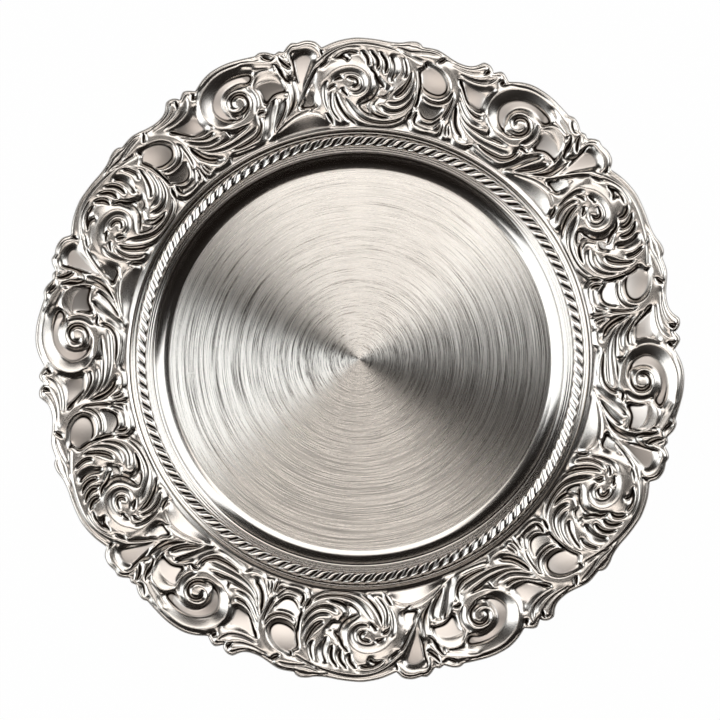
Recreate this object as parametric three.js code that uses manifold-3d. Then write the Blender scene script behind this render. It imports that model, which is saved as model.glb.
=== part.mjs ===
// Decorative charger plate: a spun dish whose rim carries two reeded rings, a rope moulding
// and six like cast sections of acanthus scrollwork, soldered end to end on the dish's flange.
import * as THREE from 'three';
import { mergeVertices } from 'three/addons/utils/BufferGeometryUtils.js';
import Module from 'manifold-3d';

const wasm = await Module();
wasm.setup();

// Driving dimensions in millimetres and degrees
const PLATE_DIAMETER = 330; // across the highest lobes of the scalloped edge
const FLOOR_DIAMETER = 195.6; // brushed flat of the well
const WALL_RUN = 7.5; // plan width of the cove wall round the well
const WELL_DEPTH = 5; // floor up to the lip
const SHEET = 1.2; // thickness of the spun dish
const RIM_SLOPE = 7; // rise of the rim, outward from the lip
const FLANGE_WIDTH = 44; // flange that carries the trim and the border
const SOLDER_GAP = 0.3; // joint between any two pieces
const REED_HEIGHT = 1.7; // crest of a bead above the seat
const REED_GROOVE = 0.7; // depth of the groove between two beads
const INNER_REED_WIDTH = 3.4;
const INNER_REED_BEADS = 3;
const OUTER_REED_WIDTH = 2.8;
const OUTER_REED_BEADS = 2;
const ROPE_WIDTH = 4.4;
const ROPE_HEIGHT = 2.6;
const ROPE_LOBES = 126;
const ROPE_GROOVE = 0.7; // depth of the groove between two lobes
const BORDER_SECTIONS = 6;
const BORDER_START = 96.84; // direction of the first seam, counter-clockwise from +X
const FIELD = 1.6; // casting thickness at the sunk fields
const EDGE_BEAD = 2.4; // raised moulding that follows the scalloped edge
const EDGE_RISE = 1.5; // its crest above the fields
const RELIEF = 3.1; // highest scroll above the fields

// Facets of the turned pieces, the cove wall, the rope's arch and the border's slab
const TURNED_SIDES = 48;
const WALL_STEPS = 3;
const ROPE_SIDES = 3;
const SLAB_STEPS = 5;

// Rim levels and radii that follow from the driving dimensions
const flatToCorner = (sides) => 1 / Math.cos(Math.PI / sides);
const slope = Math.tan(THREE.MathUtils.degToRad(RIM_SLOPE));
const floorRadius = FLOOR_DIAMETER / 2;
const lipRadius = floorRadius + WALL_RUN;
const lipHeight = SHEET + WELL_DEPTH;
const flangeRadius = lipRadius + FLANGE_WIDTH;
const innerReedRadius = lipRadius + SOLDER_GAP;
const ropeRadius = innerReedRadius + INNER_REED_WIDTH + SOLDER_GAP;
const outerReedRadius = (ropeRadius + ROPE_WIDTH + SOLDER_GAP) * flatToCorner(TURNED_SIDES);
const borderRadius = outerReedRadius + OUTER_REED_WIDTH + SOLDER_GAP;
const plateRadius = PLATE_DIAMETER / 2;
const flangeTop = (radius) => lipHeight + (radius - lipRadius) * slope;
const seat = (radius) => flangeTop(radius) + SOLDER_GAP;
const fieldTop = (radius) => seat(radius) + FIELD;

// Returns a point given by its radius, its direction in radians and its height.
function polar(radius, angle, height) {
  return new THREE.Vector3(radius * Math.cos(angle), radius * Math.sin(angle), height);
}

// Turns a closed (radius, height) section, or one that ends on the axis, about +Z.
function revolve(section) {
  const geometry = new THREE.LatheGeometry(section, TURNED_SIDES);
  geometry.deleteAttribute('normal');
  geometry.deleteAttribute('uv');
  geometry.rotateX(Math.PI / 2);
  return mergeVertices(geometry, 1e-4);
}

// Skins a row of sections. Each runs counter-clockwise as seen by someone who looks along the row.
// An open row is capped at both ends by the triangles of its flat outline.
function loft(sections, outline) {
  const count = sections[0].length;
  const positions = sections.flat().flatMap((point) => point.toArray());
  const index = [];
  const rows = outline ? sections.length - 1 : sections.length;
  for (let row = 0; row < rows; row += 1) {
    const near = row * count;
    const far = ((row + 1) % sections.length) * count;
    for (let side = 0; side < count; side += 1) {
      const next = (side + 1) % count;
      index.push(near + side, far + side, far + next);
      index.push(near + side, far + next, near + next);
    }
  }
  if (outline) {
    const last = (sections.length - 1) * count;
    for (const [a, b, c] of THREE.ShapeUtils.triangulateShape(outline, [])) {
      index.push(a, b, c);
      index.push(last + a, last + c, last + b);
    }
  }
  const geometry = new THREE.BufferGeometry();
  geometry.setAttribute('position', new THREE.Float32BufferAttribute(positions, 3));
  geometry.setIndex(index);
  return geometry;
}

function solid(geometry) {
  const merged = mergeVertices(geometry, 1e-4);
  const vertProperties = new Float32Array(merged.attributes.position.array);
  const triVerts = new Uint32Array(merged.index.array);
  return new wasm.Manifold(new wasm.Mesh({ numProp: 3, vertProperties, triVerts }));
}

function surface(body) {
  const mesh = body.getMesh();
  const geometry = new THREE.BufferGeometry();
  geometry.setAttribute('position', new THREE.BufferAttribute(mesh.vertProperties, 3));
  geometry.setIndex(new THREE.BufferAttribute(mesh.triVerts, 1));
  return geometry;
}

// Fullness of the cove: how far its foot runs level, and how its lip leans, as shares of the wall
const COVE_FOOT = 0.55;
const COVE_LIP = 0.25;
const COVE_RISE = 0.4;

// Spun dish: flat floor, cove wall and sloped flange, all of one sheet thickness.
function dishGeometry() {
  const wall = new THREE.CubicBezierCurve(
    new THREE.Vector2(floorRadius, SHEET),
    new THREE.Vector2(floorRadius + WALL_RUN * COVE_FOOT, SHEET),
    new THREE.Vector2(lipRadius - WALL_RUN * COVE_LIP, lipHeight - WELL_DEPTH * COVE_RISE),
    new THREE.Vector2(lipRadius, lipHeight),
  ).getPoints(WALL_STEPS);
  const upper = [
    new THREE.Vector2(0, SHEET),
    new THREE.Vector2(floorRadius - SHEET, SHEET),
    ...wall,
    new THREE.Vector2(flangeRadius, flangeTop(flangeRadius)),
  ];
  const lower = upper.map((point, i) => {
    const before = upper[Math.max(i - 1, 0)];
    const after = upper[Math.min(i + 1, upper.length - 1)];
    const along = after.clone().sub(before).normalize();
    return new THREE.Vector2(point.x + along.y * SHEET, point.y - along.x * SHEET);
  });
  return revolve([...lower, ...upper.reverse()]);
}

// Reeded ring: a row of beads with a flat back that lies on the flange.
function reedGeometry(innerRadius, width, beads) {
  const outerRadius = innerRadius + width;
  const section = [
    new THREE.Vector2(innerRadius, seat(innerRadius)),
    new THREE.Vector2(outerRadius, seat(outerRadius)),
  ];
  for (let half = 2 * beads; half >= 0; half -= 1) {
    const radius = innerRadius + (width * half) / (2 * beads);
    const crest = half % 2 === 1 ? REED_HEIGHT : REED_HEIGHT - REED_GROOVE;
    section.push(new THREE.Vector2(radius, seat(radius) + crest));
  }
  section.push(section[0].clone());
  return revolve(section);
}

// Rope moulding: an arched wire whose lobes lean across it by one pitch, so each one starts
// at the outer foot where its neighbour reaches the inner foot.
function ropeGeometry() {
  const middle = ropeRadius + ROPE_WIDTH / 2;
  const pitch = (2 * Math.PI) / ROPE_LOBES;
  const sections = [];
  for (let step = 0; step < 2 * ROPE_LOBES; step += 1) {
    const groove = step % 2 === 1 ? ROPE_GROOVE : 0;
    const arch = [];
    for (let part = 0; part <= ROPE_SIDES; part += 1) {
      const share = part / ROPE_SIDES;
      const turn = Math.PI * share;
      const radius = middle + (ROPE_WIDTH / 2) * Math.cos(turn);
      const height = seat(radius) + (ROPE_HEIGHT - groove) * Math.sin(turn);
      arch.push(polar(radius, (pitch * step) / 2 + pitch * (share - 0.5), height));
    }
    sections.push([arch.pop(), ...arch]);
  }
  return loft(sections);
}

// Drawing of one border section: 150 units along the rim, with 0 at a line of the pattern near
// the seam, and up to 49.27 units outward. Lengths on it are in drawing units.
const DRAWING_LENGTH = 150;
const DRAWING_SEAM = -0.4;
const DRAWING_FOOT = 1.3;
const DRAWING_CREST = 49.27;
const sectionAngle = (2 * Math.PI) / BORDER_SECTIONS;
const drawingScale = (plateRadius - borderRadius) / (DRAWING_CREST - DRAWING_FOOT);
const drawingRadius = (out) => borderRadius + (out - DRAWING_FOOT) * drawingScale;
const drawingAngle = (along) => ((along - DRAWING_SEAM) / DRAWING_LENGTH) * sectionAngle;

// Scalloped edge, one run of points from each notch to the next
const EDGE_RUNS = [
  { steps: 4, points: [[-0.4, 44], [1.6, 46.8], [6.2, 48.7], [10.3, 48.2]] },
  { steps: 3, points: [[10.3, 48.2], [12.4, 48.8], [15.1, 47.3], [17.1, 45.2]] },
  { steps: 2, points: [[17.1, 45.2], [19.1, 46.15], [21.3, 45.2]] },
  { steps: 3, points: [[21.3, 45.2], [24.6, 47.4], [28, 48.3], [30.1, 47.35]] },
  { steps: 4, points: [[30.1, 47.35], [36.6, 48.4], [45, 49.27], [53.4, 48.2], [61.3, 44.2]] },
  { steps: 3, points: [[61.3, 44.2], [64.2, 46.6], [65.8, 47.1], [69.2, 44.7]] },
  { steps: 7, points: [
    [69.2, 44.7], [71, 47], [73.7, 47.9], [78.8, 44.1], [83.8, 43], [92, 45], [103.4, 46.2]] },
  { steps: 6, points: [
    [103.4, 46.2], [106.3, 48.2], [113.5, 46.6], [132.6, 47.85], [142, 46.6], [149.6, 44]] },
];

// Main scrolls and leaves as ridges: drawing points, half-width and share of the relief from
// start to end. A ridge that runs over a seam is drawn again one section back and one on.
const RIDGES = {
  volute: { steps: 16, half: [2.6, 1.3], rise: [0.55, 1], points: [
    [33, 44], [45, 44.4], [54, 42], [60.4, 36.5], [61.8, 30], [58.5, 23.4], [50, 19.6],
    [41.5, 21], [37, 26.5], [39.2, 32.6], [45.5, 35], [50.7, 31.8], [50, 26.4], [45.8, 24.6],
    [42.9, 27.5], [45.6, 30.6]] },
  crescent: { steps: 4, half: [0.9, 1.6], rise: [0.45, 0.7], points: [
    [20.2, 24.5], [21.6, 30.8], [25.2, 34.8], [30.4, 35.4], [35.2, 32.8]] },
  shellStem: { steps: 6, half: [1.8, 1.2], rise: [0.7, 0.35], over: true, points: [
    [-14, 42.6], [-5, 41], [3, 36.4], [9.2, 29.6], [15, 21], [22, 14], [31, 8.2], [40, 4.6]] },
  teardropRim: { steps: 4, half: [0.9, 0.9], rise: [0.5, 0.5], points: [
    [4, 39.6], [5.6, 43.2], [9.4, 44], [13, 41.4], [13.9, 36], [13.4, 29]] },
  lowLeaf: { steps: 3, half: [1.2, 0.8], rise: [0.5, 0.3], points: [
    [0.6, 4.6], [6, 10], [13.5, 12.6], [22, 10.6], [31, 6.8]] },
  notchedLeaf: { steps: 5, half: [1.6, 1.2], rise: [0.65, 0.4], points: [
    [20.8, 23.4], [26.4, 23.8], [31.6, 18.6], [36, 12], [43, 7.2], [53, 6.4], [62, 6.6]] },
  upperFanLeaf: { steps: 4, half: [1, 1.7], rise: [0.5, 0.8], points: [
    [82.4, 33.4], [78.2, 26.6], [72, 21.2], [65, 18.6], [59, 18.2]] },
  lowerFanLeaf: { steps: 5, half: [1, 1.6], rise: [0.5, 0.7], points: [
    [80.6, 26], [76, 17.6], [68.6, 12.4], [58, 11], [47.6, 12.4], [39, 17.2]] },
  stem: { steps: 3, half: [1.6, 1.6], rise: [0.6, 0.75], points: [
    [82, 5], [81.6, 15], [82, 26], [84.6, 35], [90.6, 41.6]] },
  footCurl: { steps: 3, half: [1.6, 1], rise: [0.5, 0.4], points: [
    [63, 8], [68, 5.6], [76, 4.8], [88, 4.8], [98, 4.6], [102, 8.6]] },
  knobLeaf: { steps: 4, half: [1.5, 1.1], rise: [0.75, 0.5], points: [
    [72.8, 45.6], [70.9, 42.6], [73.6, 39.6], [80, 38], [86, 39.4]] },
  cabochonRing: { steps: 6, half: [1.2, 1.2], rise: [0.55, 0.55], points: [
    [97.4, 38.2], [90.4, 36], [86, 31.4], [85.6, 25.4], [90, 21.4], [96, 21.8], [100, 26]] },
  edgeLeaf: { steps: 3, half: [1, 1.4], rise: [0.45, 0.6], points: [
    [113, 43.4], [107.6, 41.2], [100.4, 40.6], [94, 42]] },
  whorlLeaf: { steps: 8, half: [1.3, 1.6], rise: [0.5, 0.75], over: true, points: [
    [107, 38.4], [103.4, 30], [104.4, 20], [110.4, 11], [121, 6], [133, 5.2], [143.6, 8.6],
    [149.4, 16], [146, 22.8]] },
  whorlSpiral: { steps: 7, half: [2.2, 1.3], rise: [0.6, 1], over: true, points: [
    [112, 41.6], [122, 43.4], [134, 43.4], [145, 40], [153.6, 32], [155.6, 22], [151, 12.4]] },
  whorlEye: { steps: 9, half: [1.6, 1.4], rise: [0.55, 1], over: true, points: [
    [154, 27], [147, 32.6], [137, 34], [127.6, 30.6], [125.2, 23], [130, 18], [137.4, 18.6], [140.6, 23.6],
    [137, 27.4], [132.8, 25.4]] },
};
const RIDGE_OUTLINE = [new THREE.Vector2(-1, 0), new THREE.Vector2(1, 0), new THREE.Vector2(0, 1)];
const RIDGE_SINK = 0.5; // a ridge starts this far below the fields
const RIDGE_TIP = 0.35; // half-width left at both ends of a ridge
const TIP_SHARE = 0.18; // share of its length over which a ridge comes to a tip
const TIP_RISE = 0.4; // share of its height left at a tip

// Sloped slab that one section is cut from, with a back that steps over the flange's edge.
function slab() {
  const corner = flatToCorner(BORDER_SECTIONS * SLAB_STEPS);
  const inner = borderRadius * corner;
  const rebate = (flangeRadius + SOLDER_GAP) * corner;
  const reach = (plateRadius + EDGE_BEAD) * corner;
  const profile = [
    [inner, seat(inner)],
    [rebate, seat(rebate)],
    [rebate, flangeTop(rebate) - SHEET],
    [reach, flangeTop(reach) - SHEET],
    [reach, fieldTop(reach)],
    [inner, fieldTop(inner)],
  ];
  const sections = [];
  for (let step = 0; step <= SLAB_STEPS; step += 1) {
    const angle = (sectionAngle * step) / SLAB_STEPS;
    sections.push(profile.map(([radius, height]) => polar(radius, angle, height)));
  }
  const outline = profile.map(([radius, height]) => new THREE.Vector2(radius, height));
  return solid(loft(sections, outline));
}

// Points of the scalloped edge in plan, from seam to seam, as radius and direction
function edgePoints() {
  const points = [];
  for (const { steps, points: run } of EDGE_RUNS) {
    const curve = new THREE.CatmullRomCurve3(run.map(([along, out]) => new THREE.Vector3(along, out, 0)));
    points.push(...curve.getSpacedPoints(steps).slice(points.length ? 1 : 0));
  }
  return points.map(({ x, y }) => ({ radius: drawingRadius(y), angle: drawingAngle(x) }));
}

// Keeps a direction half a joint back from both seams at a radius.
function insideSeams(radius, angle) {
  const margin = Math.asin(SOLDER_GAP / 2 / radius);
  return THREE.MathUtils.clamp(angle, margin, sectionAngle - margin);
}

// Upright cutter of the section's plan, bounded by the two seams and the middle of the raised edge.
function planCutter() {
  const tip = SOLDER_GAP / 2 / Math.sin(sectionAngle / 2);
  const plan = [new THREE.Vector2(tip * Math.cos(sectionAngle / 2), tip * Math.sin(sectionAngle / 2))];
  for (const { radius, angle } of edgePoints()) {
    const inside = radius - EDGE_BEAD / 2;
    const { x, y } = polar(inside, insideSeams(inside, angle), 0);
    plan.push(new THREE.Vector2(x, y));
  }
  const depth = 2 * (fieldTop(plateRadius) + RELIEF);
  const geometry = new THREE.ExtrudeGeometry(new THREE.Shape(plan), { depth, bevelEnabled: false });
  geometry.deleteAttribute('normal');
  geometry.deleteAttribute('uv');
  return solid(geometry);
}

// Raised moulding along the scalloped edge, which is also the section's outer wall
function edgeBead() {
  const sections = edgePoints().map(({ radius, angle }) => {
    const inner = radius - EDGE_BEAD;
    const crest = radius - EDGE_BEAD / 2;
    return [
      polar(inner, insideSeams(inner, angle), fieldTop(inner) - RIDGE_SINK),
      polar(radius, insideSeams(radius, angle), flangeTop(radius) - SHEET),
      polar(crest, insideSeams(crest, angle), fieldTop(crest) + EDGE_RISE),
    ];
  });
  return solid(loft(sections, RIDGE_OUTLINE));
}

// One ridge along its drawing curve, three-sided, coming to a tip at both ends.
function ridge({ steps, half, rise, points }, shift) {
  const path = points.map(([along, out]) => new THREE.Vector3(along + shift, out, 0));
  const curve = new THREE.CatmullRomCurve3(path);
  const { lerp } = THREE.MathUtils;
  const sections = [];
  for (let step = 0; step <= steps; step += 1) {
    const share = step / steps;
    const at = curve.getPointAt(share);
    const along = curve.getTangentAt(share);
    const taper = Math.min(1, share / TIP_SHARE, (1 - share) / TIP_SHARE);
    const width = lerp(RIDGE_TIP, lerp(half[0], half[1], share), taper);
    const crest = RELIEF * lerp(rise[0], rise[1], share) * lerp(TIP_RISE, 1, taper);
    const place = (side, lift) => {
      const radius = drawingRadius(at.y + along.x * side);
      return polar(radius, drawingAngle(at.x - along.y * side), fieldTop(radius) + lift);
    };
    sections.push([place(-width, -RIDGE_SINK), place(width, -RIDGE_SINK), place(0, crest)]);
  }
  return solid(loft(sections, RIDGE_OUTLINE));
}

function borderGeometry() {
  let body = slab();
  for (const drawn of Object.values(RIDGES)) {
    body = body.add(ridge(drawn, 0));
    if (drawn.over) {
      body = body.add(ridge(drawn, -DRAWING_LENGTH));
      body = body.add(ridge(drawn, DRAWING_LENGTH));
    }
  }
  return surface(body.intersect(planCutter()).add(edgeBead()));
}

const polished = { color: 0xcdc6be, roughness: 0.22, metalness: 1 };
const brushed = { color: 0xc2b8ad, roughness: 0.36, metalness: 1 };

function piece(name, geometry, finish) {
  const mesh = new THREE.Mesh(geometry, new THREE.MeshStandardMaterial(finish));
  mesh.name = name;
  return mesh;
}

const plate = new THREE.Group();
plate.name = 'decorative_plate';
plate.add(piece('dish', dishGeometry(), brushed));
plate.add(piece('inner_reed', reedGeometry(innerReedRadius, INNER_REED_WIDTH, INNER_REED_BEADS), polished));
plate.add(piece('rope_wire', ropeGeometry(), polished));
plate.add(piece('outer_reed', reedGeometry(outerReedRadius, OUTER_REED_WIDTH, OUTER_REED_BEADS), polished));
const border = borderGeometry();
for (let section = 0; section < BORDER_SECTIONS; section += 1) {
  const casting = piece(`border_section_${section + 1}`, border, polished);
  casting.rotation.z = THREE.MathUtils.degToRad(BORDER_START) + section * sectionAngle;
  plate.add(casting);
}

export default plate;
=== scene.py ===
import math

import bpy
import numpy as np
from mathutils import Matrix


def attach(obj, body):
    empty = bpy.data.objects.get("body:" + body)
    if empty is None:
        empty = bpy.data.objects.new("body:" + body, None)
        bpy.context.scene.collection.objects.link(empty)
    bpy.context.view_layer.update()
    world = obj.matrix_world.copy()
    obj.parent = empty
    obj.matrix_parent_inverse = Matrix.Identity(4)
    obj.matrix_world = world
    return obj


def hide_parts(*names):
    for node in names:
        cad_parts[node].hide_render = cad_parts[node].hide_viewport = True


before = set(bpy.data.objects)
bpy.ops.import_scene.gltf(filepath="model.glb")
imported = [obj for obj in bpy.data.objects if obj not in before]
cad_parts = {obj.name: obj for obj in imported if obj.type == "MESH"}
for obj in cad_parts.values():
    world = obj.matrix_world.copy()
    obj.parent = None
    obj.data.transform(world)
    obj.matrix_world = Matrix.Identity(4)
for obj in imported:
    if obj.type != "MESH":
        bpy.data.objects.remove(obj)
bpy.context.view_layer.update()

# Dish: the round sheet-metal bowl of the plate, spun in one piece from flat floor to sloped flange.
# It is plated in warm nickel; the floor is brushed in circles on the lathe, and the wall is polished.
# The rings and the cast border are soldered on top of its flange.
MM = 0.001
SHEET = 1.2
FLOOR_RADIUS = 97.8
WALL_RUN = 7.5
WELL_DEPTH = 5.0
FLANGE_WIDTH = 44.0
RIM_SLOPE = math.tan(math.radians(7))
LIP_RADIUS = FLOOR_RADIUS + WALL_RUN
LIP_HEIGHT = SHEET + WELL_DEPTH
FLANGE_RADIUS = LIP_RADIUS + FLANGE_WIDTH
EDGE_ROUND = 0.4
TURNED_SIDES = 256
NICKEL = (0.80, 0.765, 0.73, 1.0)
WORN_NICKEL = (0.70, 0.66, 0.62, 1.0)
BRIGHT_NICKEL = (0.88, 0.85, 0.81, 1.0)


def flange_top(radius):
    """Height of the flange's upper face."""
    return LIP_HEIGHT + (radius - LIP_RADIUS) * RIM_SLOPE


class Signal:
    """A socket of a material. Sums on it add Math nodes, and node() adds any other node."""

    def __init__(self, tree, socket=None):
        self.tree = tree
        self.socket = socket

    def node(self, kind, settings=None, inputs=None, output=0):
        node = self.tree.nodes.new(kind)
        for name, value in (settings or {}).items():
            setattr(node, name, value)
        for name, value in (inputs or {}).items():
            if isinstance(value, Signal):
                self.tree.links.new(value.socket, node.inputs[name])
            else:
                node.inputs[name].default_value = value
        return Signal(self.tree, node.outputs[output])

    def math(self, operation, *others, clamp=False):
        values = dict(enumerate(others))
        return self.node("ShaderNodeMath", {"operation": operation, "use_clamp": clamp}, values)

    def __add__(self, other):
        return self.math("ADD", self, other)

    __radd__ = __add__

    def __mul__(self, other):
        return self.math("MULTIPLY", self, other)

    __rmul__ = __mul__

    def __sub__(self, other):
        return self.math("SUBTRACT", self, other)

    def __rsub__(self, other):
        return self.math("SUBTRACT", other, self)

    def __truediv__(self, other):
        return self.math("DIVIDE", self, other)

    def __rtruediv__(self, other):
        return self.math("DIVIDE", other, self)

    def __pow__(self, other):
        return self.math("POWER", self, other)

    def __rpow__(self, other):
        return self.math("POWER", other, self)

    def clamped(self):
        return self.math("ADD", self, 0.0, clamp=True)

    def vector(self, x, y, z):
        return self.node("ShaderNodeCombineXYZ", None, {0: x, 1: y, 2: z})

    def noise(self, place, scale, detail, roughness):
        inputs = {"Vector": place, "Scale": scale, "Detail": detail, "Roughness": roughness}
        return self.node("ShaderNodeTexNoise", None, inputs)

    def tint(self, factor, low, high):
        return self.node("ShaderNodeMix", {"data_type": "RGBA"}, {0: factor, 6: low, 7: high}, 2)


def new_finish(name, **constants):
    """A metal finish: its material, its shader node, its signal maker and the place on the piece."""
    material = bpy.data.materials.new(name)
    material.use_nodes = True
    shader = material.node_tree.nodes["Principled BSDF"]
    shader.inputs["Metallic"].default_value = 1.0
    for socket, value in constants.items():
        shader.inputs[socket.replace("_", " ")].default_value = value
    maker = Signal(material.node_tree)
    place = maker.node("ShaderNodeTexCoord", output=3)
    return material, shader, maker, place


def feed(shader, **signals):
    """Drives sockets of a shader by signals."""
    for socket, signal in signals.items():
        signal.tree.links.new(signal.socket, shader.inputs[socket.replace("_", " ")])


def polar_place(place):
    """Radius in millimetres, and the cosine and sine of the angle round the plate's axis."""
    split = place.node("ShaderNodeSeparateXYZ", None, {0: place}).socket.node
    x = Signal(place.tree, split.outputs[0])
    y = Signal(place.tree, split.outputs[1])
    radius = (x * x + y * y) ** 0.5
    return radius * (1 / MM), x / radius, y / radius


STROKE_SCALE = 2.0


def strokes(polar, around, outward, detail, roughness):
    """Noise drawn out into rings round the plate's axis, as a tool leaves them on the lathe."""
    radius, cosine, sine = polar
    place = radius.vector(cosine * around, sine * around, radius * outward)
    return radius.noise(place, STROKE_SCALE, detail, roughness)


def through(points, step):
    """Smooth line through given points."""
    knots = np.array(points, float)
    ends = np.vstack([2 * knots[0] - knots[1], knots, 2 * knots[-1] - knots[-2]])
    runs = []
    for before, start, end, after in zip(ends, ends[1:], ends[2:], ends[3:]):
        count = max(2, round(np.hypot(*(end - start)) / step))
        t = np.linspace(0, 1, count, endpoint=False)[:, None]
        bend = 2 * before - 5 * start + 4 * end - after
        twist = 3 * (start - end) + after - before
        runs.append(start + 0.5 * t * (end - before + t * (bend + t * twist)))
    return np.vstack(runs + [knots[-1:]])


def add_object(name, data):
    """Adds an object with that mesh, lamp or lens to the scene."""
    thing = bpy.data.objects.new(name, data)
    bpy.context.scene.collection.objects.link(thing)
    return thing


def lay_mesh(name, points, faces, chart, finishes, crease, face_finish=None):
    """A mesh piece in metres from points in millimetres, with a chart of its surface for baking."""
    mesh = bpy.data.meshes.new(name)
    mesh.from_pydata((np.asarray(points) * MM).tolist(), [], faces)
    layer = mesh.uv_layers.new(name="OFBake")
    layer.data.foreach_set("uv", np.asarray(chart, np.float32).ravel())
    for finish in finishes:
        mesh.materials.append(finish)
    if face_finish is not None:
        mesh.polygons.foreach_set("material_index", np.asarray(face_finish, np.int32))
    mesh.polygons.foreach_set("use_smooth", np.ones(len(mesh.polygons), bool))
    mesh.set_sharp_from_angle(angle=math.radians(crease))
    mesh.update()
    return add_object(name, mesh)


def grid_faces(rows, columns, across):
    """Faces of a grid of points whose last row joins its first, that many across, and their chart."""
    row, column = np.meshgrid(np.arange(rows), np.arange(across), indexing="ij")
    next_row = (row + 1) % rows
    next_column = (column + 1) % columns
    corners = [row * columns + column, row * columns + next_column,
               next_row * columns + next_column, next_row * columns + column]
    square = np.array([[0, 0], [1, 0], [1, 1], [0, 1]])
    chart = np.stack([column, row], -1).reshape(-1, 1, 2) + square
    return np.stack(corners, -1).reshape(-1, 4).tolist(), chart / [across, rows]


def ring_mesh(radii, heights):
    """Points, faces and chart of a closed ring from its rows of radius and height."""
    rows, columns = radii.shape
    angle = np.arange(columns) * 2 * np.pi / columns
    points = np.stack([radii * np.cos(angle), radii * np.sin(angle), heights], -1).reshape(-1, 3)
    return points, *grid_faces(rows, columns, columns)


def turned(profile):
    """Points, faces and chart of a piece whose section is the same all the way round."""
    profile = np.array(profile, float)
    around = np.ones(TURNED_SIDES)
    return ring_mesh(profile[:, :1] * around, profile[:, 1:] * around)


def from_floor(section):
    """Points of a section that is given outward from the edge of the floor."""
    return [(FLOOR_RADIUS + outward, height) for outward, height in section]


CENTRE = 0.05
FLOOR_RINGS = (CENTRE, 12, 30, 50, 70, 86, 94, 96.8)
BASE_RINGS = (95.5, 86, 60, 30, CENTRE)
COVE = [(-0.5, 1.2), (0, 1.26), (0.8, 1.5), (1.8, 1.88), (3, 2.43), (4.5, 3.42), (5.9, 4.63), (6.9, 5.63),
        (7.6, 6.12)]
COVE_TOP = LIP_RADIUS + 1.1
COVE_STEP = 0.5
COVE_BACK = [(7.2, 4.5), (6.1, 3.2), (4.8, 2), (3.2, 1), (1.4, 0.35), (-0.6, 0.05)]
COVE_BACK_TOP = LIP_RADIUS + 0.9
COVE_BACK_STEP = 0.8
BRUSHED_COVE_ROWS = 3

floor_rows = [(radius, SHEET) for radius in FLOOR_RINGS]
cove_rows = through(from_floor(COVE) + [(COVE_TOP, flange_top(COVE_TOP))], COVE_STEP).tolist()
edge_top = flange_top(FLANGE_RADIUS)
edge_rows = [(FLANGE_RADIUS - EDGE_ROUND, flange_top(FLANGE_RADIUS - EDGE_ROUND)),
             (FLANGE_RADIUS, edge_top - EDGE_ROUND),
             (FLANGE_RADIUS, edge_top - SHEET + EDGE_ROUND),
             (FLANGE_RADIUS - EDGE_ROUND, edge_top - SHEET)]
back_top = (COVE_BACK_TOP, flange_top(COVE_BACK_TOP) - SHEET)
back_rows = through([back_top] + from_floor(COVE_BACK), COVE_BACK_STEP).tolist()
base_rows = [(radius, 0.0) for radius in BASE_RINGS]
dish_rows = floor_rows + cove_rows + edge_rows + back_rows + base_rows
dish_points, dish_faces, dish_chart = turned(dish_rows)
finish_rows = np.ones(len(dish_rows), int)
finish_rows[:len(floor_rows) + BRUSHED_COVE_ROWS] = 0
finish_rows[-len(base_rows):] = 0

GROOVE_LEAN = 0.12
GROOVE_SPREAD = 1.5
BRUSHED_ROUGHNESS = 0.28
ROUGHNESS_SPREAD = 0.9
ALONG_RINGS = 0.25
brushed, shader, maker, place = new_finish(
    "brushed_floor", Base_Color=NICKEL, Roughness=BRUSHED_ROUGHNESS,
    Anisotropic=0.84, Anisotropic_Rotation=ALONG_RINGS)
polar = polar_place(place)
radius, cosine, sine = polar
arcs = strokes(polar, 0.25, 1.1, 4.0, 0.75)
hairlines = strokes(polar, 1.5, 2.2, 2.0, 0.6)
dust = strokes(polar, 40.0, 1.6, 2.0, 0.6)
scratches = arcs * 0.55 + hairlines * 0.45
shine = ((dust * 1.5 + scratches * 0.3 - 0.4) * 1.2).clamped()
lean = (scratches - 0.5) * GROOVE_SPREAD + GROOVE_LEAN
facing = maker.node("ShaderNodeNewGeometry", output=1)
leaning = maker.node("ShaderNodeVectorMath", {"operation": "ADD"},
                     {0: facing, 1: maker.vector(cosine * lean, sine * lean, 0.0)})
feed(shader,
     Base_Color=maker.tint(shine, WORN_NICKEL, BRIGHT_NICKEL),
     Roughness=(BRUSHED_ROUGHNESS + (scratches - 0.5) * ROUGHNESS_SPREAD).clamped(),
     Normal=maker.node("ShaderNodeVectorMath", {"operation": "NORMALIZE"}, {0: leaning}))

polished, shader, maker, place = new_finish(
    "polished_nickel", Base_Color=NICKEL, Roughness=0.14,
    Anisotropic=0.3, Anisotropic_Rotation=ALONG_RINGS)
turning = strokes(polar_place(place), 2.0, 1.2, 2.0, 0.6)
feed(shader,
     Base_Color=maker.tint(turning, WORN_NICKEL, NICKEL),
     Roughness=0.09 + turning * 0.14)

dish = lay_mesh("dish_shell", dish_points, dish_faces, dish_chart, [brushed, polished], crease=30,
                face_finish=np.repeat(finish_rows, TURNED_SIDES))
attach(dish, "root")
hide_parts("dish")

# Reeded rings: two narrow rings of turned wire beads, three beads inside the rope and two outside it.
# They are polished nickel like the wall, and soldered to the flange.
SOLDER = 0.3
REED_HEIGHT = 1.7
BEAD_STEPS = 9
BEAD_RISE = 0.35
INNER_REED = LIP_RADIUS + SOLDER
INNER_REED_WIDTH = 3.4
OUTER_REED = 114.245
OUTER_REED_WIDTH = 2.8


def seat(radius):
    """Height over the flange at which a soldered piece sits."""
    return flange_top(radius) + SOLDER


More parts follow.
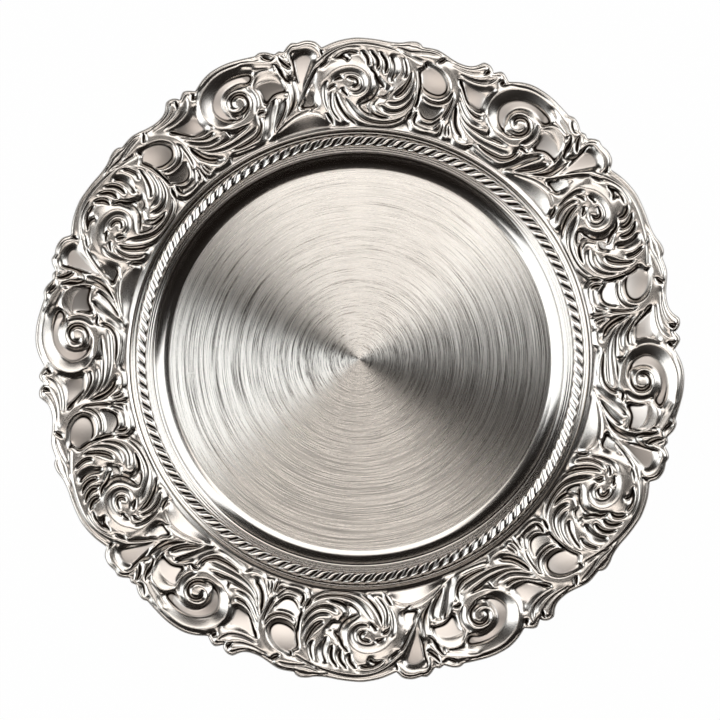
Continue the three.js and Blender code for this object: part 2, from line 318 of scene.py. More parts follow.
def reed_rows(inner, outer, beads, sharpness):
    """Section of a reeded ring: round beads over a flat back that follows the flange."""
    rows = []
    pitch = (outer - inner) / beads
    valley = REED_HEIGHT - BEAD_RISE * pitch
    for bead in range(beads):
        for step in range(BEAD_STEPS):
            turn = (step + 0.5) / BEAD_STEPS
            radius = inner + (bead + turn) * pitch
            arch = 1 - abs(2 * turn - 1) ** sharpness
            rows.append((radius, seat(radius) + valley + (REED_HEIGHT - valley) * arch))
    rows.append((outer, seat(outer) + valley / 2))
    rows.append((outer, seat(outer)))
    rows.append((inner, seat(inner)))
    rows.append((inner, seat(inner) + valley / 2))
    return rows


for name, node, inner, width, beads, sharpness in (
        ("reed_inner", "inner_reed", INNER_REED, INNER_REED_WIDTH, 3, 1.4),
        ("reed_outer", "outer_reed", OUTER_REED, OUTER_REED_WIDTH, 2, 1.25)):
    ring_points, ring_faces, ring_chart = turned(reed_rows(inner, inner + width, beads, sharpness))
    reed = lay_mesh(name, ring_points, ring_faces, ring_chart, [polished], crease=50)
    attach(reed, "root")
    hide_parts(node)

# Rope moulding: a ring of wire rolled into 126 leaning lobes, like a twisted cord seen from above.
# It lies between the two reeds; the lobes are polished, and painted shade darkens the cuts between them.
ROPE_INNER = 109.1
ROPE_OUTER = 114.1
ROPE_HEIGHT = 2.2
ROPE_EDGE = 1.3
ROPE_ROUND = 0.6
ROPE_LOBES = 126
LOBE_STEPS = 16
CROSS_STEPS = 17
LOBE_LEAN = 0.399
LOBE_CURL = 0.126
CUT_DEPTH = 0.8
CUT_SHARPNESS = 1.6
CUT_TONE = 5
# Near-black colour painted into the cuts and hollows as shade.
CUT_SHADE_DARK = (0.02, 0.0135, 0.01, 1.0)

side = np.linspace(-1, 1, CROSS_STEPS)[:, None]
column = np.arange(ROPE_LOBES * LOBE_STEPS)[None, :] / LOBE_STEPS
phase = (column + LOBE_LEAN * side + LOBE_CURL * side ** 3 + 0.5) % 1.0 - 0.5
arch = (1 - side ** 4) ** ROPE_ROUND
groove_share = abs(2 * phase) ** CUT_SHARPNESS * (1 - side ** 12) ** ROPE_ROUND
middle = (ROPE_INNER + ROPE_OUTER) / 2
half = (ROPE_OUTER - ROPE_INNER) / 2
rope_radius = middle + side * half * np.ones(column.shape)
rope_rise = ROPE_EDGE + (ROPE_HEIGHT - ROPE_EDGE) * arch - CUT_DEPTH * groove_share
foot_radius = np.array([[ROPE_OUTER], [ROPE_INNER]]) * np.ones(column.shape)
rope_points, rope_faces, rope_chart = ring_mesh(
    np.vstack([rope_radius, foot_radius]), np.vstack([seat(rope_radius) + rope_rise, seat(foot_radius)]))

rope_finish, shader, maker, place = new_finish("rope_nickel", Base_Color=NICKEL, Roughness=0.15)
# Painted shade: the colour darkens to near black in the cuts between the lobes, as deep as each point lies in
# a cut.
cut = maker.node("ShaderNodeAttribute", {"attribute_name": "cut"}, output=2)
grain = maker.noise(place, 900.0, 3.0, 0.6)
feed(shader,
     Base_Color=maker.tint((cut * 1.3 - 0.15).clamped(), NICKEL, CUT_SHADE_DARK),
     Roughness=0.1 + grain * 0.1 + cut * 0.25)
rope = lay_mesh("rope_ring", rope_points, rope_faces, rope_chart, [rope_finish], crease=80)


def note_points(piece, name, values):
    """Keeps a value for each point of a piece, for its finish to read."""
    layer = piece.data.attributes.new(name, "FLOAT", "POINT")
    layer.data.foreach_set("value", values.astype(np.float32).ravel())


# How deep in a cut each point lies, which sets the painted shade there.
note_points(rope, "cut", np.vstack([groove_share ** CUT_TONE, np.zeros(foot_radius.shape)]))
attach(rope, "root")
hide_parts("rope_wire")

# Cast border: six like castings of acanthus scrolls, soldered end to end round the flange.
# Each has a scalloped edge with a bead, polished scrolls, and satin fields sunk between them.
# The relief is drawn flat, in millimetres along the casting and out from the reed, and wrapped round.
SECTIONS = 6
SECTION_START = math.radians(96.84)
PLATE_RADIUS = 165.0
BORDER_RADIUS = OUTER_REED + OUTER_REED_WIDTH + SOLDER
FIELD = 1.6
DRAWN_LENGTH = 150.0
DRAWN_SEAM = -0.4
DRAWN_FOOT = 1.3
DRAWN_REACH = 49.27
DRAWN_SCALE = (PLATE_RADIUS - BORDER_RADIUS) / (DRAWN_REACH - DRAWN_FOOT)
LINE_STEP = 0.06
GROUND_STEP = 0.4
CELL = 0.15
ROWS = 340
COLUMNS = round(DRAWN_LENGTH / CELL)

EDGE_RUNS = [
    [(-0.4, 44), (1.6, 46.8), (3.5, 48), (6.6, 48.7), (10.3, 48.2)],
    [(10.3, 48.2), (12.3, 48.8), (13.5, 48.5), (15.1, 47.35), (17.1, 45.2)],
    [(17.1, 45.2), (19.1, 46.15), (21.3, 45.2)],
    [(21.3, 45.2), (23.2, 46.6), (25.1, 47.7), (27.8, 48.3), (30.1, 47.35)],
    [(30.1, 47.35), (36.6, 48.4), (40.5, 49), (45, DRAWN_REACH), (50, 49), (53.4, 48.2), (56.8, 46.8),
     (61.3, 44.2)],
    [(61.3, 44.2), (62.4, 45.2), (64.2, 46.6), (65.8, 47.15), (67.2, 46.6), (69.2, 44.7)],
    [(69.2, 44.7), (70.1, 46.2), (71.8, 47.5), (73.7, 47.9), (75.3, 47.5), (77.2, 45.4), (78.8, 44.1),
     (81.1, 43.2), (83.8, 43), (86.5, 43.2), (89.9, 44.15), (94.9, 46), (98, 46.5), (103.4, 46.2)],
    [(103.4, 46.2), (104.3, 47.35), (106.3, 48.2), (109.5, 47.85), (112.6, 46.8), (115.7, 46.4),
     (119.5, 46.5), (124.2, 47.15), (132.6, 47.85), (136.5, 47.6), (140.3, 47), (144.2, 46), (149.6, 44)],
]

along, out = np.meshgrid(np.arange(COLUMNS) * CELL, np.arange(ROWS) * CELL)
ratio = np.full(along.shape, np.nan)
crest_level = ratio.copy()
floor_level = ratio.copy()
hollowness = ratio.copy()
satin = np.zeros(along.shape, bool)

CREST_END = 0.78
CREST_SINK = 0.4
GROOVE_END = 0.68
GROOVE_LIFT = 0.75
END_EASE = 1.5


def cells_of(points):
    """Cells of the drawing that a line passes through."""
    line = through(points, LINE_STEP)
    return np.round(line[:, 1] / CELL).astype(int), np.round(line[:, 0] / CELL).astype(int) % COLUMNS


def run_out(cells, start):
    """0 along the middle of a line, rising to 1 at its ends from that share of its half length."""
    run = np.linspace(-1, 1, len(cells[0]))
    return np.clip((abs(run) - start) / (1 - start), 0, 1) ** END_EASE


def crest(height, *points):
    """Top line of a stem, a leaf rib or a scroll, which sinks a little at both ends."""
    cells = cells_of(points)
    ratio[cells] = 1 - CREST_SINK * run_out(cells, CREST_END)
    crest_level[cells] = height


def cove(height, *points):
    """Bottom line of a rounded hollow."""
    cells = cells_of(points)
    ratio[cells] = 0.0
    floor_level[cells] = height
    hollowness[cells] = 1.0


def groove(height, *points):
    """Narrow cut that runs out at both ends."""
    cells = cells_of(points)
    ratio[cells] = GROOVE_LIFT * run_out(cells, GROOVE_END)
    floor_level[cells] = height
    hollowness[cells] = 0.0


def ground(tilt, bend, *points):
    """Sunk ground between the scrolls, which leans in or out against the rim's own slope and is bent."""
    rim = through(points + points[:1], GROUND_STEP)
    inside = np.zeros(along.shape, bool)
    for (a1, b1), (a2, b2) in zip(rim, np.roll(rim, -1, 0)):
        if b1 != b2:
            inside ^= ((b1 > out) != (b2 > out)) & (along < (a2 - a1) * (out - b1) / (b2 - b1) + a1)
    ratio[inside] = 0.0
    from_middle = out[inside] - out[inside].mean()
    beside = along[inside] - along[inside].mean()
    floor_level[inside] = tilt * from_middle + bend / 2 * (from_middle ** 2 + beside ** 2)
    hollowness[inside] = 1.0
    return inside


def field(tilt, bend, *points):
    """Ground with a satin finish."""
    satin[ground(tilt, bend, *points)] = True


def brink(height, *points):
    """Sharp edge of a hollow."""
    crest(height, *points)
    hollowness[cells_of(points)] = 1.0


# Satin fields
field(-0.11, 0.01, (4.8, 39.6), (6.4, 41.2), (8.8, 41.7), (11.2, 41), (12.7, 39), (13.1, 36), (13.2, 31),
      (13.5, 26), (13.5, 22.6), (11.6, 26.4), (9.2, 30.6), (6.8, 35))
field(0.28, 0.008, (20.8, 25.4), (21.6, 28.6), (23.6, 31), (26.6, 32.4), (31, 32.8), (34.6, 32.3),
      (33.5, 30.2), (33, 27.6), (32.8, 25), (32.8, 22.8), (30.6, 23.6), (28, 25.3), (24.6, 25.8))
field(-0.03, -0.014, (34.8, 38.8), (39, 40.4), (45, 40.8), (50, 39.9), (54, 37.6), (57.2, 34.4), (58.8, 30.6),
      (57.9, 26.4), (55, 23), (51.4, 21.6), (53.6, 25.2), (54.2, 29), (53.2, 33), (50.4, 36.2),
      (45.6, 38), (41, 37.6), (37.6, 35.8), (35.8, 36.8))
field(0.16, 0.02, (68, 33.2), (72, 33), (77, 33.4), (80, 33.8), (78, 30.8), (75.4, 27.8), (72.4, 25.6),
      (68.6, 25), (67, 25.2), (67.6, 28.6))
field(0.13, -0.016, (97.4, 36.9), (93, 35.5), (89.8, 33.2), (87.6, 30), (87.2, 27.4), (88.6, 25.2),
      (91, 24.1), (94.6, 24.2), (97.4, 25), (99.2, 26.4), (99.9, 29), (100.8, 32), (102, 34), (100, 35),
      (98.6, 36))
# Polished grounds that lean towards the middle of the plate
ground(0.26, 0.01, (7.8, 25), (10.2, 21.4), (13, 17.6), (14.8, 15.4), (10.6, 15), (8, 14.8), (7, 17.4),
       (7.4, 21))
ground(0.26, 0.01, (86, 18), (88.6, 17.2), (92, 16.8), (96, 17.4), (99.2, 18.8), (99.4, 16), (98.2, 13.8),
       (95.6, 11.6), (92.4, 11), (89.8, 11.6), (87.6, 13.8))
ground(0.2, 0.01, (115.9, 22.6), (117.6, 21), (119.6, 22), (121.2, 22.6), (122, 20.6), (122.6, 19),
       (120.6, 18.8), (119, 18.4), (117.6, 19.4))
ground(0.2, 0.01, (127.8, 14.4), (130.6, 13.6), (132.8, 13.2), (131.4, 11.4), (129, 9.8), (126.6, 9.2),
       (127.6, 11.4))
# Shell lobe and its ear
crest(1.7, (0.9, 40.4), (1.3, 43), (3, 45.4), (6.2, 46.5), (9.6, 46.3))
groove(-0.8, (14.7, 43.6), (14.1, 40.5), (13.9, 36), (13.9, 31), (13.7, 27.4))
crest(1.9, (10.5, 44.8), (11.4, 46.4), (13.2, 46), (14.9, 43.4), (15.6, 40), (15.4, 38))
groove(1.2, (11.8, 44.4), (13.2, 43.6), (13.9, 41.4))
groove(1.2, (14.6, 45.6), (15.9, 43), (16.3, 40))
crest(1.6, (15.6, 45.8), (16.8, 43), (16.9, 40.4))
groove(-0.7, (-0.2, 43.6), (0.2, 41.6), (0.4, 40.2))
# Buds between the shell and the volute
crest(1.7, (15.6, 37.6), (17.2, 40.2), (18.9, 43))
groove(-0.4, (15, 35.8), (17.2, 38.4), (19.2, 41), (20.2, 43.8))
groove(0.8, (16.9, 41.8), (18, 43.2), (19.4, 44.4))
crest(1.9, (19.6, 37.8), (18.7, 35.8), (17.5, 33.6), (17.4, 31.8))
groove(-0.4, (15, 35.6), (14.8, 33), (15.4, 31), (16.8, 29.8), (18.6, 30), (20, 32), (20.4, 35),
       (20.4, 38.8))
crest(1.6, (20.8, 44.2), (20.9, 41.2), (21, 38.4))
crest(1.4, (22.4, 34), (22.2, 36.5), (22.6, 39.2))
groove(-0.6, (20.7, 31), (20.9, 35), (21.7, 38.6), (23, 40.4))
groove(0.6, (23.7, 35.8), (23.6, 38), (23.4, 39.6))
# Leaf along the edge that laps over the volute
groove(0, (23.2, 42.2), (25.6, 44.2), (27.7, 45.9))
crest(1.9, (22.2, 40.2), (25, 41.7), (30, 43.7), (34, 45), (37.8, 45.7))
groove(1.3, (28.4, 44.4), (32, 45.4), (36.6, 46.4))
groove(1.1, (32.4, 42.2), (35.5, 43.7), (38.3, 45.2))
crest(1.5, (24.6, 39.6), (29, 41.2), (32.2, 42.4))
groove(0.9, (25, 38.8), (28, 39.4), (32, 40.4), (36, 42))
# Crescent round the second field
brink(1.9, (19.5, 24.6), (19.6, 29), (21.3, 33.4), (24.4, 37), (28.6, 38.5), (32.6, 37.7), (35, 35),
      (36.2, 32.8))
# Volute: edge bands, cove and spiral
groove(1.3, (31, 45.8), (36, 46.8), (42, 47.4), (47, 47.4), (52, 46.7), (56.5, 45.1), (60.6, 42.9))
crest(2.3, (38.6, 45.2), (45, 45.8), (50, 45.3), (55, 43.4), (59, 40.9), (62.2, 37.6), (64.2, 33),
      (64.4, 29), (63.2, 25), (60.8, 21.7), (57, 18.9), (52.5, 17.3), (46, 16.9), (41, 18.4),
      (38.4, 20.4))
crest(0.4, (34, 39.8), (39, 41.4), (45, 41.8), (50, 40.9), (54.6, 38.6), (58, 35), (59.7, 30.8),
      (58.8, 26.2), (55.6, 22.4), (51, 20.8), (47, 20.9))
crest(1.3, (38, 20.2), (35.8, 22.6), (34.6, 25.6), (34.6, 28.8), (35.8, 31.6))
groove(0.7, (40, 20), (37.6, 22.4), (36.4, 25.4), (36.3, 28.4), (37.4, 31.8), (39.6, 34.2))
crest(2.2, (57, 21.4), (52, 19.8), (48, 19.6), (44, 20.4), (40.8, 22.4), (38.8, 25.4), (38.6, 28.6),
      (39.8, 31.4), (42.4, 33.5), (45.4, 34), (48.6, 33.4), (51, 31.5), (51.9, 28.8), (51.2, 26.2),
      (49, 24.6), (46.4, 24.4), (44, 25.6), (43, 27.6), (43.4, 29.6), (45, 30.6))
groove(0.4, (53.4, 23.2), (49.6, 22.2), (46, 22.3), (43, 23.5), (41.1, 25.7), (40.8, 28.2), (41.6, 30.4),
       (43.6, 32), (46, 32.2), (48, 31.2), (49.4, 29.2), (49, 27.2), (47.4, 26.4), (45.8, 27))
crest(1.9, (46.6, 29), (47, 28.6), (47.3, 28.2))
groove(-0.5, (34.4, 18.4), (36.8, 19.3), (39.4, 19))
# Leaf with a notched edge
crest(1.9, (20.2, 24.3), (23.6, 24.8), (27.8, 24.2), (31, 21.4), (34.2, 18.2), (36.8, 18.6))
crest(2, (24.6, 22.6), (26.6, 19.8), (29.4, 15), (32.1, 10.8), (35.3, 6.4))
cove(0.3, (28.2, 22), (31.4, 17.4), (33.6, 13), (36, 9), (39, 6.2))
crest(1.9, (36.8, 16.6), (37.6, 12.8), (40.4, 8.8), (44.4, 6.3), (51, 6), (57, 6.7), (62.2, 8))
cove(0.3, (38.8, 15.4), (39.8, 12.4), (42.2, 10), (45.6, 8.6), (50, 7.9), (54, 7.8), (60, 8.6))
crest(2.1, (19.4, 27), (19.3, 23), (20.8, 17.6), (23.8, 13.2), (27.8, 9.8), (34.2, 5.9))
groove(0.2, (21.6, 22.6), (22.6, 19.2), (25.2, 15), (29, 11.2), (33, 7.8))
cove(0.1, (16.4, 28.4), (16.4, 24.6), (17.6, 20), (20.2, 16), (24, 12.6), (28.8, 9.6))
brink(1.8, (14.6, 30), (14, 26.4), (14.2, 22.6), (16.4, 18), (20.6, 14.4), (26.4, 11.2), (31.4, 8.3), (37, 5))
# Stem from the whorl before it
crest(2.1, (-10, 43.4), (-5, 41), (0, 37.8), (5, 33.2), (9, 27.6), (12.8, 21.8), (16.4, 16.8), (20, 13.9))
groove(0.6, (-4.6, 37.4), (1, 34.6), (5, 30.8), (8, 27), (11.6, 21.6), (14.4, 18))
crest(1.9, (-4, 34.6), (-0.4, 31.4), (1.8, 27.6), (2.8, 22.4), (2.6, 17), (1.2, 12))
# Low leaf along the inner border
crest(1.5, (0.8, 8.8), (3.6, 11.1), (7, 12.4), (9.8, 12.9))
groove(0.2, (8.8, 14.2), (10, 13.6), (10.2, 12.2))
crest(1.7, (10.4, 14.2), (15, 13.5), (20, 12.2), (25, 10.2), (31, 7.4), (38, 4.9))
groove(1.2, (2, 8.6), (5, 10.8), (9, 12), (13, 12.2), (20, 11), (27, 8.4), (34, 5.8))
brink(1.6, (1, 5.4), (3.2, 8), (6.4, 9.8), (10, 10.9), (14, 10.9), (20, 9.9), (27, 7.6), (34, 5.3))
cove(-0.1, (0.6, 3.4), (6, 3.6), (12, 3.7), (18, 3.8), (25, 3.8), (34, 3.6))
# Fan of leaves under the volute
groove(-0.7, (73, 23.8), (76.5, 27), (80, 31.5), (82.8, 35.6))
crest(1.8, (62.8, 24.4), (65, 22.9), (68, 22.2), (72, 22.8), (75.4, 25.2), (78.4, 28.6), (80.8, 31.8))
groove(0.2, (63.6, 21.5), (66.4, 20.8), (70, 21), (74, 23.2), (77.6, 26.7), (80.4, 30))
crest(1.7, (59.6, 19.2), (64, 19), (68.6, 19.4), (73, 21.6), (76.8, 25), (80, 28.8))
groove(0.8, (62, 17.5), (67.8, 17.1), (72.6, 18.9), (76.4, 22), (79.6, 25.8))
crest(1.7, (59, 17.8), (63, 16.2), (68, 15.8), (72.6, 17.4), (76.6, 20.6), (79.4, 24.6))
groove(0.6, (44.4, 15.8), (52, 15.2), (58, 14.2), (64, 14.4), (70, 15.3), (74.6, 17.8), (78.4, 22.2))
crest(1.9, (40.6, 15.8), (46, 13.6), (52, 12.5), (58, 12), (64, 12.4), (70, 14), (74.4, 16.8), (77.8, 21))
groove(0.9, (39.6, 13.8), (44, 11.8), (50, 10.9), (57, 10.4), (63, 10.7), (69, 12.4), (73.6, 15.2),
       (76.8, 19))
crest(1.7, (41, 11.8), (47, 9.7), (54, 9.2), (61, 9.4), (67, 10.6), (72, 13.2), (76, 17.2))
groove(1, (44, 9.6), (49, 8.4), (55, 8.2), (61, 8.7))
groove(-0.8, (69, 8.7), (73, 9.8), (76.4, 12.8), (78.6, 17.4), (79.9, 22.6))
crest(1.4, (57.6, 19), (58.3, 17.4), (57.8, 16))
groove(-0.4, (57, 15.3), (57.7, 16.2), (58, 18))
crest(1.3, (42, 4.5), (48, 4.4), (54, 5), (59, 5.7), (62.4, 6.4))
groove(1.2, (46, 5.2), (52, 5.2), (57, 6), (61.6, 7))
cove(0.4, (42, 3.3), (48, 3.3), (56, 3.8), (61, 4.6), (63.2, 5.6))
# Foot rosette and its two curls
crest(1.6, (63, 8.4), (64.4, 6.4), (67.4, 5.1), (71, 5), (74.4, 5.6))
crest(1, (64.6, 4.4), (67, 3.8), (70, 3.6), (74, 4))
groove(0, (62.8, 6.4), (64, 4.8), (65.2, 3.6))
groove(1.2, (66, 8), (70, 6.6), (74, 6.6))
groove(-0.4, (75.2, 4.6), (76, 3.4))
crest(2, (80.4, 12.5), (82, 13), (83.6, 12.3))
crest(1.5, (79.6, 12), (78, 9.6), (76.8, 6.8))
groove(0, (79.4, 10.4), (78.4, 8), (77.4, 6.2))
crest(1.5, (80.4, 11.6), (80, 8.8), (79, 6.2), (77.4, 5))
groove(0, (80.7, 10.8), (80.4, 8), (79.4, 5.4))
crest(1.8, (81.8, 12), (81.6, 9), (81.4, 6), (80.4, 4.2))
groove(0, (82.7, 10.6), (82.9, 8), (82.6, 5.8), (84.2, 3.4))
crest(1.5, (83.4, 11.6), (83.8, 8.6), (84.6, 6), (86, 4.4))
groove(0, (84.2, 10.4), (84.7, 8), (85.4, 6))
crest(1.4, (84.8, 11.4), (86, 8.8), (87.6, 5.8), (88.6, 4.6))
groove(-0.2, (86.2, 7.8), (87.4, 6.2))
# Stem over the rosette
crest(2.1, (82, 13), (81.4, 18), (81.1, 23), (81.4, 27.4), (82.4, 31.4), (85.6, 35.2), (89.2, 38.2),
      (92.4, 40.4))
groove(0.6, (82.6, 27), (82.5, 21), (83.2, 16.4), (84.6, 12.4))
crest(1.6, (83.2, 25.6), (84.2, 19), (86.2, 14.2), (88.8, 10.6), (91.4, 9.2), (95, 9.4), (97.6, 11.4),
      (98.4, 13))
cove(0.5, (85, 12), (87.2, 9.4), (89.4, 7.4), (92, 6.6))
# Cabochon ring and the band below it
crest(2.1, (97, 38.6), (92, 36.9), (87.8, 34.2), (85.4, 30.8), (84.7, 27.4), (85.5, 24.2), (87.8, 21.8),
      (91, 20.7), (95, 21), (98, 22.8), (99.7, 25.2))
groove(0.6, (83.3, 28.4), (83.7, 24.6), (85.6, 21.5), (89, 19.6), (92.4, 19.3), (96, 20), (99, 22))
crest(1.6, (84.2, 22.2), (86.4, 19.7), (90, 18.3), (94, 18.2), (97.6, 19.4), (100, 21.6))
groove(-0.9, (103.8, 34.4), (102, 31.2), (100.7, 27.2), (100.4, 23), (100.6, 19), (101.2, 15.6),
       (102, 14))
# Curl to the right of the rosette
groove(-0.7, (98.6, 12.8), (100, 10.8), (100.2, 8.6), (99, 6.4))
crest(1.7, (98.4, 14.4), (101, 12.2), (101.7, 9.4), (101, 6.6), (98.6, 4.8), (94, 4.3), (89.8, 5))
cove(0.5, (90.6, 8), (94, 7.4), (97, 7.6))
cove(-0.4, (102.6, 12.4), (104, 9.8), (104, 7), (102.6, 4.6))
# Knobs at the edge
groove(-0.8, (62.4, 43.4), (63.6, 42), (64.6, 40.6))
crest(1.9, (65.2, 44.8), (65.8, 42.6), (67, 40), (69.4, 37.2), (74, 35.6), (79, 35.6), (83, 36.8))
crest(1.6, (67.6, 44.6), (68.4, 42.4), (69.6, 40.4))
groove(1.1, (66.4, 44), (66.9, 42.6), (68, 40.6), (70, 38.4), (74, 37), (79, 36.8), (84, 37.8))
groove(-0.8, (71.2, 45.4), (71.5, 43.6), (72.4, 42))
crest(2, (70.2, 44.4), (70.8, 41.8), (73, 39.6), (78, 38.4), (83, 38.6), (87.4, 40))
groove(1.4, (73.2, 43.4), (74.6, 41.4), (78, 40.1), (83, 39.8), (88, 40.8), (91, 42))
crest(1.8, (73, 46), (74, 44), (77, 42.2), (81, 41.2), (85, 41.2), (90, 42.8))
crest(0.6, (65.4, 36.4), (67, 33.4), (67.3, 29), (66.4, 25.2))
# Leaf along the edge before the whorl
groove(-0.2, (91.6, 43), (93.2, 41.4), (95.2, 39.8))
crest(1.8, (93, 43.8), (96, 44.6), (100, 44.7), (104, 44.1), (108, 43.3), (112, 44), (116, 45))
groove(1.1, (93.4, 42.8), (97, 43.6), (101, 43.5), (105, 42.7), (108, 42.3), (112, 43.1), (117, 44.3))
crest(1.8, (94.4, 41.6), (98, 41.6), (103, 41), (107, 40.8))
groove(1, (100.8, 37.4), (103, 38.6), (107, 40), (112, 41.4), (116, 42.4))
crest(1.7, (100.6, 36), (104, 36.7), (108, 38.6), (112, 40.2))
groove(-0.8, (99.4, 35.9), (100, 37), (100.8, 38.2))
groove(1.1, (105.4, 45.2), (107, 45.7), (109.4, 45.2))
# Whorl: edge groove, big band and its lobes
groove(1, (112, 41.4), (117, 42.9), (122, 44), (127, 44.9), (132, 45.1), (137, 44.6), (142, 43),
       (147, 40.6), (151, 38), (154.4, 34.8))
crest(2.1, (109, 39.2), (114, 41), (120, 42.6), (127, 43.6), (134, 43.9), (140, 43), (146, 39.8),
      (151, 35.4), (154, 31))
groove(1.3, (131, 42.3), (135, 42.9), (139.6, 42.5), (144.2, 40.6), (148.8, 37.6))
crest(1.9, (131.6, 41.4), (135.4, 41.9), (139.4, 41.2), (144, 39))
groove(0.2, (132.6, 39.6), (135.6, 40.6), (139, 40.4), (143, 38.8))
crest(1.7, (129.4, 33.6), (131, 36.4), (134, 38.4), (137, 38))
groove(-0.5, (137.4, 35.4), (138.2, 37.4), (140.6, 38.5), (144.2, 37.2))
crest(1.7, (139.2, 35.4), (140.8, 36.8), (144, 36), (149.5, 32.6))
groove(-0.2, (131.4, 41), (128.8, 38.6), (127.8, 35.6), (128.8, 33))
crest(2, (130, 41.8), (127, 39), (125.5, 35.6), (126.7, 32.2))
groove(-0.2, (127.2, 41), (124.1, 38), (122.9, 34.5), (124.5, 31.4))
crest(2, (125.7, 41.3), (122.2, 38.2), (120.7, 34.4), (121.6, 30.4), (123, 28))
groove(-0.4, (122.8, 40.4), (119.9, 37.4), (118.8, 33.6), (119.7, 29.6))
crest(1.9, (121.3, 40.7), (118.2, 37.8), (116.9, 34), (117.6, 29.6), (119.6, 27.2))
crest(1.7, (120.8, 27.6), (118.2, 26.2), (116.3, 24.2))
groove(-0.8, (118.4, 22.9), (121.1, 24.8), (123, 27.2), (124.9, 29.8))
cove(0.2, (117, 38.6), (115, 34.6), (114.9, 30.4), (115.8, 27))
# Whorl spiral: one broad round band that winds in to a small ball
groove(-0.8, (128.4, 33.4), (125.2, 30.8), (122.8, 27), (122.2, 23.6), (122.8, 20.4), (125.4, 17),
       (130, 14.6), (134, 14.2))
crest(2.2, (138, 19.1), (134.9, 17.7), (131.5, 18.1), (128.4, 20.2), (127, 23.7), (127.4, 27.5),
      (129.9, 31), (133.8, 33.1), (138.4, 33.7), (143.4, 32.5), (147.6, 29.8), (150.8, 26.2))
groove(1.2, (148, 26.4), (143.4, 28.6), (138.8, 29.8), (134.2, 29.5), (131.3, 27.7), (129.9, 24.5),
       (130.7, 21.6), (133.4, 19.8), (136.5, 20.4), (138.8, 22.5))
crest(1.9, (140.7, 28.3), (136.5, 28.8), (133.2, 27.7), (131.4, 25.4), (131.7, 22.7), (134.2, 21.1),
      (137, 21.6), (138.8, 23.5))
groove(0.3, (138.8, 27.5), (135.7, 27.6), (133.6, 26.7), (132.8, 24.8), (134.2, 22.8), (136.8, 22.7))
crest(1.8, (134.5, 24.5), (135.9, 25.2), (137.6, 25))
groove(0, (140.3, 27.5), (142.6, 27.6), (145.3, 26.2))
crest(1.7, (141.5, 26.2), (144.2, 25.9), (147.6, 24.5), (150.3, 21.4))
groove(0.2, (144.5, 24.1), (146.8, 23.9), (149.2, 21.8))
groove(-0.2, (138.8, 18.2), (140.7, 20.6), (142.2, 22.5))
# Leaves that sweep to the left of the whorl, and the leaf below it with a round tip
crest(1.8, (113.4, 39.8), (111.3, 36), (110.7, 32.5), (112.2, 29.5), (114.9, 27.9))
groove(0.5, (111.1, 39.1), (109.2, 34.8), (108.6, 31), (110.3, 28.3))
crest(1.9, (109.5, 38.7), (107.4, 34.1), (107, 30), (108.8, 26.2), (111.5, 23.7), (114.6, 20.2), (118.2, 17))
groove(0.1, (105.9, 32.5), (106.6, 28.3), (108.2, 23.7), (110.7, 20.2), (114.2, 18.5))
crest(1.8, (107.6, 37.2), (104.9, 32.5), (104.3, 27.5), (105.5, 22.5), (108.4, 18.7), (112.2, 16.8),
      (116, 16.4), (118.2, 16.6))
groove(0.9, (103.8, 29.5), (104.2, 24.1), (106.1, 19.1), (109.9, 15.6), (114.5, 14.8), (118, 15.4))
crest(1.8, (105.3, 34.8), (103.2, 30.2), (103, 24.8), (104.3, 19.5), (107.2, 15.6), (111.1, 13.3),
      (115.3, 13.1), (118.8, 14.5), (120.3, 16))
groove(0.7, (102.2, 23.3), (103.8, 17.5), (106.8, 13.3), (111.1, 11.2), (115.7, 11.2), (119.5, 12.9),
       (121.1, 14.6))
crest(1.9, (102.2, 26.4), (102.2, 21), (104.2, 15.2), (107.6, 11.4), (112.2, 9.4), (117.2, 9.2),
      (121.2, 10.6), (123.4, 12.6), (123.8, 14.4))
groove(-0.5, (114.2, 7.8), (119.5, 7.8), (124.2, 9.3), (126.7, 12.2), (126.6, 15), (124.5, 17), (120.6, 17.6))
# Strands that sweep below the whorl
crest(1.8, (101.7, 24.1), (101.5, 19.1), (103.4, 13.3), (106.8, 9.5), (112.2, 7), (118.8, 6.2),
      (124.9, 6.8), (129.9, 9.1), (133.4, 12.5), (136.8, 15.4), (139.9, 18.4), (144, 20.8))
groove(0.5, (104.5, 10.6), (109.2, 7), (115.3, 5), (123, 4.7), (128.8, 6), (133.4, 9.1), (136.5, 12.5),
       (138.8, 15.6), (141.6, 18))
crest(1.8, (104.9, 8.7), (109.5, 5.6), (115.7, 3.7), (124.2, 3.3), (131.1, 4.7), (136.1, 7.5), (139.9, 11.8),
      (142.2, 15.6), (143.8, 19.1))
groove(-0.3, (132.6, 3.4), (136.5, 5.2), (140.3, 8.7), (143, 12.5), (144.7, 16.8), (144.7, 20.2))
crest(1.8, (145.7, 20.6), (146.5, 16.8), (146.3, 12.5), (144.2, 8.7), (140.7, 4.8))
groove(0.6, (146.7, 21.2), (148.2, 17.2), (148.2, 12.5), (146.1, 8.3), (143, 5.2))
crest(1.8, (147, 22.3), (149.3, 18.3), (149.6, 13.3), (147.6, 8.7), (144.6, 5.2))
groove(0.8, (148.4, 27), (150.2, 23.6), (151.2, 19), (150.8, 14.4), (149.4, 10.8))
groove(-0.6, (148.6, 3.6), (148.6, 6), (150, 8.6), (152, 9.8))
groove(0.2, (103.4, 8.3), (108, 5), (112.6, 3.3))

COARSEST_ROWS = 12
RELAX_SWEEPS = 50
COMB_PASSES = 6
COMB_STEPS = (-3, -1.5, 1.5, 3)
COMB_WIDTH = 0.7


